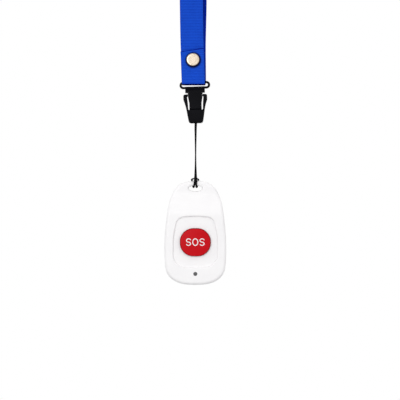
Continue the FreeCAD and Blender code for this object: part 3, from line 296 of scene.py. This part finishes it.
def ramp(tree, value, low, high, start=0.3, end=0.7):
    """Colours from low to high as the value goes from start to end."""
    node = tree.nodes.new("ShaderNodeValToRGB")
    node.color_ramp.elements[0].position = start
    node.color_ramp.elements[0].color = (*low, 1)
    node.color_ramp.elements[1].position = end
    node.color_ramp.elements[1].color = (*high, 1)
    tree.links.new(value, node.inputs["Fac"])
    return node.outputs["Color"]


def spread(tree, value, low, high):
    """A number from low to high as the value goes from 0 to 1."""
    node = tree.nodes.new("ShaderNodeMapRange")
    node.inputs["To Min"].default_value = low
    node.inputs["To Max"].default_value = high
    tree.links.new(value, node.inputs["Value"])
    return node.outputs["Result"]


def multiply(tree, first, second):
    """One colour times another."""
    node = tree.nodes.new("ShaderNodeMix")
    node.data_type = "RGBA"
    node.blend_type = "MULTIPLY"
    node.inputs["Factor"].default_value = 1.0
    tree.links.new(first, node.inputs["A"])
    tree.links.new(second, node.inputs["B"])
    return node.outputs["Result"]


def add_bump(tree, shader, value, depth, before=None):
    """Raises the surface by the value times the depth in metres."""
    node = tree.nodes.new("ShaderNodeBump")
    node.inputs["Strength"].default_value = 1.0
    node.inputs["Distance"].default_value = depth
    tree.links.new(value, node.inputs["Height"])
    if before:
        tree.links.new(before, node.inputs["Normal"])
    tree.links.new(node.outputs["Normal"], shader.inputs["Normal"])
    return node.outputs["Normal"]


def facing(tree, way):
    """Near 1 on faces that look that way, and less on the rims round them."""
    place = tree.nodes.new("ShaderNodeTexCoord")
    dot = tree.nodes.new("ShaderNodeVectorMath")
    dot.operation = "DOT_PRODUCT"
    dot.inputs[1].default_value = way
    tree.links.new(place.outputs["Normal"], dot.inputs[0])
    return dot.outputs["Value"]


def moulded(name, low, high, roughness, grain=0.00025, depth=0.000004, specular=0.5, painted_rim_shade=None):
    """Moulded plastic: nearly even colour, fine grain and slightly uneven gloss, with painted shade on its rim
    if asked.
    """
    material, tree, shader = new_material(name, roughness)
    shader.inputs["Specular IOR Level"].default_value = specular
    colour = ramp(tree, object_noise(tree, TINT_SIZE), low, high)
    if painted_rim_shade:
        colour = multiply(tree, colour, ramp(tree, facing(tree, FRONT), painted_rim_shade, WHITE, 0.55, 0.97))
    tree.links.new(colour, shader.inputs["Base Color"])
    gloss = spread(tree, object_noise(tree, GLOSS_SIZE), roughness - 0.05, roughness + 0.06)
    tree.links.new(gloss, shader.inputs["Roughness"])
    add_bump(tree, shader, object_noise(tree, grain, 4.0), depth)
    return material


def metal(name, low, high, roughness, grain=0.0004, painted_rim_shade=None):
    """Plated or rolled metal with fine wear in its gloss, and with painted shade round its rim if asked."""
    material, tree, shader = new_material(name, roughness, 1.0)
    wear = object_noise(tree, grain * 6, 5.0)
    colour = ramp(tree, wear, low, high)
    if painted_rim_shade:
        colour = multiply(tree, colour, ramp(tree, facing(tree, FRONT_RAISED_LEFT), painted_rim_shade, WHITE, 0.62, 0.86))
    tree.links.new(colour, shader.inputs["Base Color"])
    tree.links.new(spread(tree, wear, roughness - 0.06, roughness + 0.1), shader.inputs["Roughness"])
    add_bump(tree, shader, object_noise(tree, grain), 0.000003)
    return material


def rubber(name, low, high):
    """Matt rubber with a fine grain."""
    material, tree, shader = new_material(name, 0.7)
    tree.links.new(ramp(tree, object_noise(tree, 0.002), low, high), shader.inputs["Base Color"])
    add_bump(tree, shader, object_noise(tree, 0.0003), 0.00001)
    return material


def braid_material():
    """Black braided polyester, with painted shade between the yarns."""
    material, tree, shader = new_material("braid", 0.9)
    shader.inputs["Specular IOR Level"].default_value = 0.0
    colour = ramp(tree, attribute(tree, "yarn"), (0.004, 0.004, 0.004), (0.010, 0.010, 0.011), 0.1, 0.9)
    tree.links.new(colour, shader.inputs["Base Color"])
    add_bump(tree, shader, object_noise(tree, 0.00012, 4.0), 0.00002)
    return material


def rivet_painted_shadow(tree):
    """Painted shadow round the rivet's cap on the webbing: dark near the cap and white elsewhere."""
    place = tree.nodes.new("ShaderNodeTexCoord")
    away = tree.nodes.new("ShaderNodeVectorMath")
    away.operation = "MULTIPLY_ADD"
    away.inputs[1].default_value = (RAMP_PER_METRE, 0, RAMP_PER_METRE)
    away.inputs[2].default_value = (-RAMP_PER_METRE * RIVET_SHADOW_X, 0, -RAMP_PER_METRE * RIVET_SHADOW_Z)
    tree.links.new(place.outputs["Object"], away.inputs[0])
    reach = tree.nodes.new("ShaderNodeVectorMath")
    reach.operation = "LENGTH"
    tree.links.new(away.outputs["Vector"], reach.inputs[0])
    dark, light = RAMP_PER_METRE * RIVET_SHADOW_RADIUS, RAMP_PER_METRE * RIVET_SHADOW_FADE_RADIUS
    return ramp(tree, reach.outputs["Value"], (0.03, 0.06, 0.12), WHITE, dark, light)


def webbing_material():
    """Blue nylon webbing: rib crowns painted light and valleys painted dark, fine warp threads, and painted
    shade between its layers, on its cut end and sides, under its fold and round the rivet.
    """
    material, tree, shader = new_material("webbing", 0.7)
    shader.inputs["Specular IOR Level"].default_value = 0.06
    # Painted highlights on the rib crowns and painted shade in the valleys between them
    rib_painted_light_and_shade = ramp(tree, attribute(tree, "rib"), (0.004, 0.048, 0.47), (0.010, 0.092, 0.68), 0.0, 1.0)
    wear = ramp(tree, object_noise(tree, 0.004, 4.0), (0.88, 0.9, 0.92), WHITE)
    # Painted shade from the stored amount: dark blue up to 0.5, darker still above it, as on the cut end and
    # under the fold
    painted_shade_amount = attribute(tree, "painted_shade_amount")
    shade = ramp(tree, painted_shade_amount, WHITE, (0.01, 0.28, 0.66), 0.0, 0.5)
    deeper_painted_shade = ramp(tree, painted_shade_amount, WHITE, (0.20, 0.20, 0.20), 0.5, 1.0)
    colour = rib_painted_light_and_shade
    for darker in (wear, shade, deeper_painted_shade, rivet_painted_shadow(tree)):
        colour = multiply(tree, colour, darker)
    tree.links.new(colour, shader.inputs["Base Color"])
    thread = tree.nodes.new("ShaderNodeTexWave")
    thread.wave_type = "BANDS"
    thread.bands_direction = "X"
    thread.inputs["Scale"].default_value = THREAD_SCALE
    thread.inputs["Distortion"].default_value = 0.6
    where = tree.nodes.new("ShaderNodeUVMap")
    where.uv_map = "band"
    tree.links.new(where.outputs["UV"], thread.inputs["Vector"])
    first = add_bump(tree, shader, thread.outputs["Fac"], 0.00003)
    add_bump(tree, shader, object_noise(tree, 0.00018), 0.00003, first)
    return material


def circuit_material():
    """Green solder mask over fine copper tracks."""
    material, tree, shader = new_material("solder_mask", 0.35)
    place = tree.nodes.new("ShaderNodeTexCoord")
    tracks = tree.nodes.new("ShaderNodeTexBrick")
    tracks.inputs["Scale"].default_value = TRACK_SCALE
    tracks.inputs["Color1"].default_value = (0.010, 0.105, 0.035, 1)
    tracks.inputs["Color2"].default_value = (0.012, 0.125, 0.042, 1)
    tracks.inputs["Mortar"].default_value = (0.030, 0.190, 0.070, 1)
    tracks.inputs["Mortar Size"].default_value = TRACK_WIDTH
    turned = tree.nodes.new("ShaderNodeMapping")
    turned.inputs["Rotation"].default_value = (math.radians(90), 0, 0)
    tree.links.new(place.outputs["Object"], turned.inputs["Vector"])
    tree.links.new(turned.outputs["Vector"], tracks.inputs["Vector"])
    tree.links.new(tracks.outputs["Color"], shader.inputs["Base Color"])
    add_bump(tree, shader, tracks.outputs["Fac"], 0.00003)
    return material


# Cord: one braided loop from the knot in the buckle's base, round the pendant's bridge and back

CORD_DIAMETER = 0.0007
CORD_STEP = 0.0001
CORD_AROUND = 24
BRAID_PITCH = 0.0017
BRAID_YARNS = 4
BRAID_FULLNESS = 1.12
BRAID_RELIEF = 0.06
HITCH_TOP = -0.1175
HITCH_RUN = 0.001
HITCH_SPREAD = 0.3
LEFT_STRAND = [
    (0.00000, 0.0, -0.08434),
    (-0.00018, -0.00016, -0.08750),
    (-0.00007, -0.00029, -0.09200),
    (0.00007, -0.00036, -0.09800),
    (0.00016, -0.00037, -0.10450),
    (0.00024, -0.00036, -0.11050),
    (0.00038, -0.00030, -0.11400),
    (0.00049, -0.00017, -0.11590),
    (0.00053, 0.0, -0.11690),
]
HITCH = [
    (0.00056, -0.00124, -0.11860),
    (0.00064, -0.00334, -0.12020),
    (0.00046, -0.00334, -0.12440),
    (0.00106, 0.00226, -0.12440),
    (0.00176, 0.00226, -0.11990),
    (0.00201, -0.00144, -0.11980),
    (0.00106, -0.00334, -0.11915),
    (-0.00134, -0.00334, -0.11915),
    (-0.00229, -0.00144, -0.11980),
    (-0.00204, 0.00226, -0.11990),
    (-0.00134, 0.00226, -0.12440),
    (-0.00074, -0.00334, -0.12440),
    (-0.00032, -0.00334, -0.12020),
    (-0.00024, -0.00124, -0.11860),
]
RIGHT_STRAND = [
    (-0.00021, 0.0, -0.11690),
    (-0.00017, 0.00017, -0.11590),
    (-0.00006, 0.00030, -0.11400),
    (0.00008, 0.00036, -0.11050),
    (0.00016, 0.00037, -0.10450),
    (0.00025, 0.00036, -0.09800),
    (0.00039, 0.00029, -0.09200),
    (0.00050, 0.00016, -0.08750),
    (0.00074, 0.0, -0.08434),
]


def make_cord():
    """The braid along the whole route, pressed wider where it is hitched on the bridge."""
    line = even_steps(smooth_line(LEFT_STRAND + HITCH + RIGHT_STRAND), CORD_STEP)
    points, yarns = [], []
    for index, (centre, side, other) in enumerate(frames_along(line)):
        turn = 2 * math.pi * index * CORD_STEP / BRAID_PITCH
        pressed = min(1.0, max(0.0, (HITCH_TOP - centre.z) / HITCH_RUN))
        for k in range(CORD_AROUND):
            angle = 2 * math.pi * k / CORD_AROUND
            over = math.cos(BRAID_YARNS * (angle + turn / 2))
            under = math.cos(BRAID_YARNS * (angle - turn / 2))
            yarn = max(over, under)
            radius = CORD_DIAMETER / 2 * (BRAID_FULLNESS + BRAID_RELIEF * yarn)
            away = side * math.cos(angle) * radius + other * math.sin(angle) * radius
            away.x *= 1 + HITCH_SPREAD * pressed
            points.append(centre + away)
            # How high each point stands on the yarns, which the braid's material turns into painted shade
            # between them
            yarns.append(0.5 + 0.5 * yarn)
    cord = mesh_object("cord_braid", points, ring_faces(len(line), CORD_AROUND))
    store(cord, "yarn", yarns)
    cord.data.materials.append(braid_material())
    return cord, line


make_camera()
CORD, CORD_LINE = make_cord()
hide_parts("cord_left", "cord_right", "cord_hitch")
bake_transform(CORD)


# Strap: one length of webbing, looped above, folded round the ring and riveted to itself.
# RIB_PHASE keeps the crowns of the ribs off the buckle when it is swung to its limit.

STRAP_WIDTH = 0.0139
STRAP_THICKNESS = 0.0008
RIB_PITCH = 0.00092
RIB_STEPS = 6
RIB_DEPTH = 0.00009
RIB_PHASE = 2
STRAP_SIDE = 14
FLAT_SHARE = 0.985
SELVEDGE_START = 0.93
LAYER = 0.00148
STRAP_ROUTE = [
    (-0.00125, 0.0, -0.0574),
    (-0.00145, 0.0, -0.0500),
    (-0.00190, 0.0, -0.0400),
    (-0.00214, -0.0010, -0.0300),
    (-0.00234, -0.0038, -0.0150),
    (-0.00248, -0.0055, -0.0055),
    (-0.00232, -0.0052, 0.0004),
    (-0.00140, 0.0, 0.0004),
    (-0.00040, 0.0052, 0.0004),
    (-0.00010, 0.0058, -0.0055),
    (-0.00010, 0.0046, -0.0150),
    (-0.00050, 0.0022, -0.0300),
    (-0.00070, LAYER, -0.0400),
    (-0.00060, LAYER, -0.0520),
    (-0.00050, LAYER, -0.0605),
    (-0.00080, LAYER, -0.0627),
    (-0.00120, -LAYER, -0.0627),
    (-0.00130, -LAYER, -0.0605),
    (-0.00160, -LAYER, -0.0520),
    (-0.00188, -LAYER, -0.0440),
    (-0.00200, -LAYER - 0.0003, -0.0418),
]
FLAP_SLOPE = 0.163
FLAP_RUN = 0.004
# Painted shade on the flap's cut end, on the webbing's inner face and sides, and under the fold round the ring
CUT_STEPS = 3.5
CUT_SHADE = 0.62
INNER_SHADE = 0.5
SIDE_SHADE = 0.3
FOLD_TOP = -0.061
FOLD_LEAN = 0.2
FOLD_RANGE = 0.4

# The ring of painted shadow round the rivet's cap on the webbing, and the scale that brings its radii into a
# ramp
RIVET_SHADOW_X = -0.00124
RIVET_SHADOW_Z = -0.04804
RIVET_SHADOW_RADIUS = 0.0043
RIVET_SHADOW_FADE_RADIUS = 0.0052
RAMP_PER_METRE = 100


def strap_section():
    """Once round, from the right: share of the half width, and of the half thickness."""
    top = [((1 - 2 * k / STRAP_SIDE) * FLAT_SHARE, 1.0) for k in range(STRAP_SIDE + 1)]
    low = [(-x, -y) for x, y in top]
    return [(1.0, 0.0)] + top + [(-1.0, 0.0)] + low


def layer_shade(y, to_end):
    """Painted shade of the webbing's cut end, of its inner face and of its sides."""
    if to_end < CUT_STEPS * RIB_PITCH / RIB_STEPS:
        return CUT_SHADE
    if y > 0:
        return INNER_SHADE
    return SIDE_SHADE if y == 0 else 0.0


def fold_shade(centre, face):
    """Painted shade under the fold round the ring, where the webbing looks down."""
    if centre.z >= FOLD_TOP:
        return 0.0
    return min(1.0, max(0.0, (abs(face.z) - FOLD_LEAN) / FOLD_RANGE))


def make_strap():
    """The ribbed band along its route, with the end of its flap cut at a slant."""
    step = RIB_PITCH / RIB_STEPS
    line = even_steps(smooth_line(STRAP_ROUTE), step)
    section = strap_section()
    reach = length_of(line)
    side = Vector((1, 0, 0))
    points, ribs, painted_shade_amounts, across = [], [], [], []
    for index, centre in enumerate(line):
        ahead = (line[min(index + 1, len(line) - 1)] - line[max(index - 1, 0)]).normalized()
        face = ahead.cross(side).normalized()
        rib = math.cos(2 * math.pi * (index + RIB_PHASE) / RIB_STEPS)
        to_end = reach - index * step
        slant = FLAP_SLOPE * max(0.0, 1 - to_end / FLAP_RUN)
        for x, y in section:
            edge = max(0.0, (abs(x) - SELVEDGE_START) / (1 - SELVEDGE_START))
            raised = RIB_DEPTH / 2 * rib * (1 - edge) * y
            thick = STRAP_THICKNESS / 2 * y - RIB_DEPTH / 2 * y
            reach_x = x * STRAP_WIDTH / 2
            points.append(centre + side * reach_x + face * (thick + raised) + Vector((0, 0, slant * reach_x)))
            ribs.append(0.5 + 0.5 * rib)
            painted_shade_amounts.append(max(layer_shade(y, to_end), fold_shade(centre, face)))
            across.append((reach_x, index * step))
    strap = mesh_object("strap_webbing", points, ring_faces(len(line), len(section)))
    store(strap, "rib", ribs)
    store(strap, "painted_shade_amount", painted_shade_amounts)
    layer = strap.data.uv_layers.new(name="band")
    for loop in strap.data.loops:
        layer.data[loop.index].uv = across[loop.vertex_index]
    strap.data.materials.append(webbing_material())
    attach(strap, "strap")
    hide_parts("strap")


# Knot that holds the cord's two ends inside the buckle's base

KNOT_STEPS = 24
KNOT_AROUND = 12
KNOT_INSET = 0.0005
KNOT_RADIUS = 0.00045


def make_knot():
    """An overhand knot that fills the CAD's knot."""
    low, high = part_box("cord_knot")
    centre = (low + high) / 2
    inner = (high - low) / 2 - Vector((KNOT_INSET, KNOT_INSET, KNOT_INSET))
    route = []
    for k in range(KNOT_STEPS):
        t = 2 * math.pi * k / KNOT_STEPS
        x = (math.sin(t) + 2 * math.sin(2 * t)) / 3
        y = (math.cos(t) - 2 * math.cos(2 * t)) / 3
        z = -math.sin(3 * t)
        route.append(centre + Vector((x * inner.x, y * inner.y, z * inner.z)))
    line = smooth_line([tuple(point) for point in route], closed=True)
    points = []
    for place, side, other in frames_along(line):
        for k in range(KNOT_AROUND):
            angle = 2 * math.pi * k / KNOT_AROUND
            points.append(place + (side * math.cos(angle) + other * math.sin(angle)) * KNOT_RADIUS)
    knot = mesh_object("cord_end_knot", points, ring_faces(len(line), KNOT_AROUND, True))
    store(knot, "yarn", [0.5] * len(points))
    knot.data.materials.append(bpy.data.materials["braid"])
    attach(knot, "buckle")
    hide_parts("cord_knot")


# Call letters printed on the button

LETTER_HEIGHT = 0.0045
LETTER_STROKE = 0.00056
LETTER_RISE = 0.00003
S_WIDTH = 0.00300
O_WIDTH = 0.00360
LETTER_GAP = 0.00072
LETTER_SHIFT = 0.00015
S_OPENING = 8
S_STEPS = 24
O_STEPS = 48
STROKE_SECTION = ((0.5, 0.0), (0.46, 1.0), (-0.46, 1.0), (-0.5, 0.0), (-0.46, -1.0), (0.46, -1.0))
CAP_DROP = 0.1572
CAP_FRONT = -0.00794
CAP_RADIUS = 0.1081


def cap_face(x, z):
    """The domed button's Y at a place on its face."""
    reach = math.hypot(x, z + CAP_DROP)
    return CAP_FRONT + CAP_RADIUS - math.sqrt(CAP_RADIUS ** 2 - reach ** 2)


def letter_s():
    """The middle of the S's stroke: an upper bowl and a lower one."""
    wide = (S_WIDTH - LETTER_STROKE) / 2
    high = (LETTER_HEIGHT - LETTER_STROKE) / 4
    line = []
    for k in range(S_STEPS + 1):
        angle = math.radians(S_OPENING + (270 - S_OPENING) * k / S_STEPS)
        line.append((wide * math.cos(angle), high + high * math.sin(angle)))
    for k in range(1, S_STEPS + 1):
        angle = math.radians(90 - (270 - S_OPENING) * k / S_STEPS)
        line.append((wide * math.cos(angle), -high + high * math.sin(angle)))
    return line


def letter_o():
    """The middle of the O's stroke."""
    wide = (O_WIDTH - LETTER_STROKE) / 2
    high = (LETTER_HEIGHT - LETTER_STROKE) / 2
    angles = [2 * math.pi * k / O_STEPS for k in range(O_STEPS)]
    return [(wide * math.cos(angle), high * math.sin(angle)) for angle in angles]


def make_letter(name, outline, centre_x, closed):
    """A flat printed stroke along an outline, laid on the button's dome."""
    count = len(outline)
    points = []
    for index, (x, z) in enumerate(outline):
        before = outline[index - 1] if closed or index else outline[0]
        after = outline[(index + 1) % count] if closed or index < count - 1 else outline[-1]
        along = Vector((after[0] - before[0], 0, after[1] - before[1])).normalized()
        normal = Vector((-along.z, 0, along.x))
        for share, lift in STROKE_SECTION:
            px = centre_x + x + normal.x * share * LETTER_STROKE
            pz = -CAP_DROP + LETTER_SHIFT + z + normal.z * share * LETTER_STROKE
            points.append(Vector((px, cap_face(px, pz) - lift * LETTER_RISE, pz)))
    letter = mesh_object(name, points, ring_faces(count, len(STROKE_SECTION), closed))
    letter.data.materials.append(bpy.data.materials["letter_ink"])
    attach(letter, "button")


def make_letters():
    moulded("letter_ink", (0.86, 0.84, 0.84), (0.90, 0.88, 0.88), 0.4)
    offset = (O_WIDTH + S_WIDTH) / 2 + LETTER_GAP
    make_letter("call_letter_left", letter_s(), -offset, False)
    make_letter("call_letter_middle", letter_o(), 0.0, True)
    make_letter("call_letter_right", letter_s(), offset, False)


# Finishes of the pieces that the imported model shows

def dress(names, material):
    """Gives each of these solids the material."""
    for name in names:
        slots = NODES[name].data.materials
        slots.clear()
        slots.append(material)


def dress_nodes():
    dress(["front_shell", "rear_shell", "battery_door"],
          moulded("shell_white", (0.895, 0.885, 0.895), (0.915, 0.905, 0.912), 0.38, 0.00018, 0.000003))
    # The button's rim is painted darker where it turns away from the front, as painted shade
    dress(["button_cap"],
          moulded("button_red", (0.51, 0.003, 0.007), (0.57, 0.005, 0.011), 0.34, 0.0002, 0.000003, 0.08,
                  painted_rim_shade=(0.35, 0.6, 0.6)))
    dress(["buckle_top", "buckle_base"],
          moulded("buckle_black", (0.0022, 0.0022, 0.0034), (0.0040, 0.0040, 0.0056), 0.42, 0.00022,
                  0.000006, 0.04))
    dress(["ring"],
          moulded("ring_black", (0.002, 0.002, 0.003), (0.004, 0.004, 0.005), 0.30, 0.0002, 0.000004, 0.05))
    # The rivet's cap is painted darker round its rim, most at the bottom and right, as painted shade
    dress(["rivet_cap"],
          metal("nickel", (0.57, 0.48, 0.38), (0.63, 0.54, 0.43), 0.22, painted_rim_shade=(0.10, 0.09, 0.11)))
    dress(["rivet_post"], metal("nickel_back", (0.74, 0.66, 0.55), (0.82, 0.74, 0.63), 0.22))
    dress(["light_pipe"], moulded("smoked_lens", (0.078, 0.078, 0.080), (0.095, 0.095, 0.097), 0.22))
    dress(["shell_seal", "door_seal", "button_gasket"],
          rubber("seal_rubber", (0.05, 0.05, 0.055), (0.09, 0.09, 0.095)))
    dress(["circuit_board"], circuit_material())
    dress(["switch_body"], moulded("switch_black", (0.02, 0.02, 0.02), (0.03, 0.03, 0.03), 0.5))
    dress(["switch_plunger"], moulded("plunger_grey", (0.5, 0.5, 0.5), (0.6, 0.6, 0.6), 0.45))
    dress(["radio_chip"], moulded("epoxy", (0.012, 0.012, 0.013), (0.02, 0.02, 0.021), 0.55))
    dress(["chip_antenna"], moulded("ceramic", (0.68, 0.65, 0.57), (0.76, 0.73, 0.66), 0.4))
    dress(["status_led"], moulded("led_resin", (0.80, 0.76, 0.55), (0.88, 0.85, 0.70), 0.2))
    dress(["coin_cell", "crystal"],
          metal("cell_steel", (0.62, 0.62, 0.61), (0.72, 0.72, 0.71), 0.24, 0.0003))
    dress(["contact_minus", "contact_plus"],
          metal("plated_bronze", (0.72, 0.62, 0.42), (0.82, 0.74, 0.56), 0.28))
    dress(["shell_screw_%d" % (n + 1) for n in range(4)],
          metal("screw_steel", (0.5, 0.5, 0.5), (0.62, 0.62, 0.62), 0.3))


make_world()
make_floor()
make_lamp("key", KEY_PLACE, KEY_SIDE, KEY_POWER)
make_lamp("fill", FILL_PLACE, FILL_SIDE, FILL_POWER)
make_strap()
make_knot()
make_letters()
dress_nodes()

bpy.context.scene.view_settings.view_transform = "Standard"
